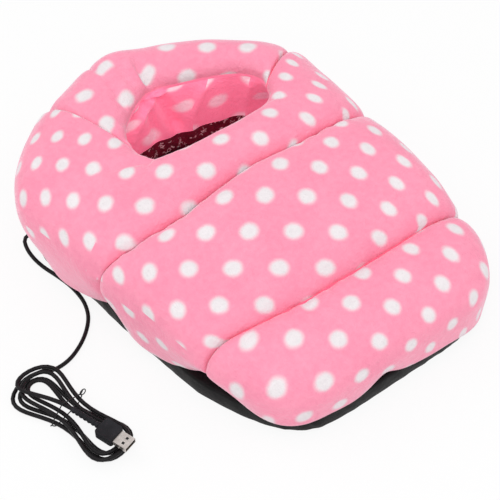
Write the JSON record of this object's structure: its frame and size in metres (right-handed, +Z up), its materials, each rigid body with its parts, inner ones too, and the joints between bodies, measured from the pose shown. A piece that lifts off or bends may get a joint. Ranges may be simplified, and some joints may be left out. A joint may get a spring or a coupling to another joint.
{
  "type": "electric foot warmer",
  "caption": "Soft electric foot warmer: a stuffed fleece boot for both feet, open at the heel end, on a flat sole with a heated plush footbed and a thin lead with a flat plug.",
  "frame": {"origin": "on the floor, at the centre of the warmer's own box without its lead", "axes": "+Z up, +Y from the toe to the heel end where the feet go in, +X to the wearer's left, away from the lead"},
  "size_m": [0.3878, 0.3835, 0.1075],
  "materials": {
    "pink_fleece": "deep fleece pile",
    "white_wadding": "loose fibre filling",
    "pink_lining": "short fleece pile",
    "black_sole_cloth": "coated woven cloth",
    "grey_foam": "soft foam sheet",
    "grey_felt": "felt",
    "burgundy_plush": "short plush pile",
    "heating_wire": "insulated wire",
    "nickel": "nickel plated",
    "black_rubber": "moulded",
    "black_lead": "smooth",
    "black_tie_wire": "plastic coated wire",
    "contact_block": "moulded",
    "contact_gold": "gold plated"
  },
  "bodies": {
    "root": {"toe_cover": "pink_fleece", "toe_wadding": "white_wadding", "toe_lining": "pink_lining", "instep_cover": "pink_fleece", "instep_wadding": "white_wadding", "instep_lining": "pink_lining", "throat_cover": "pink_fleece", "throat_wadding": "white_wadding", "throat_lining": "pink_lining", "heel_cover": "pink_fleece", "heel_wadding": "white_wadding", "heel_lining": "pink_lining", "sole_cover": "black_sole_cloth", "sole_foam": "grey_foam", "insole_sheet": "pink_lining", "pad_base": "grey_felt", "pad_plush": "burgundy_plush", "heating_wire": "heating_wire", "thermal_cutout": "nickel", "crimp_front": "nickel", "crimp_back": "nickel", "cord_outlet": "black_rubber", "pad_lead": "black_lead", "cord_run": "black_lead", "cord_hank": "black_lead", "wire_tie": "black_tie_wire", "plug_relief": "black_rubber", "plug_body": "black_rubber", "plug_shell": "nickel", "plug_tongue": "contact_block", "plug_contact_1": "contact_gold", "plug_contact_2": "contact_gold", "plug_contact_3": "contact_gold", "plug_contact_4": "contact_gold"}
  },
  "joints": []
}
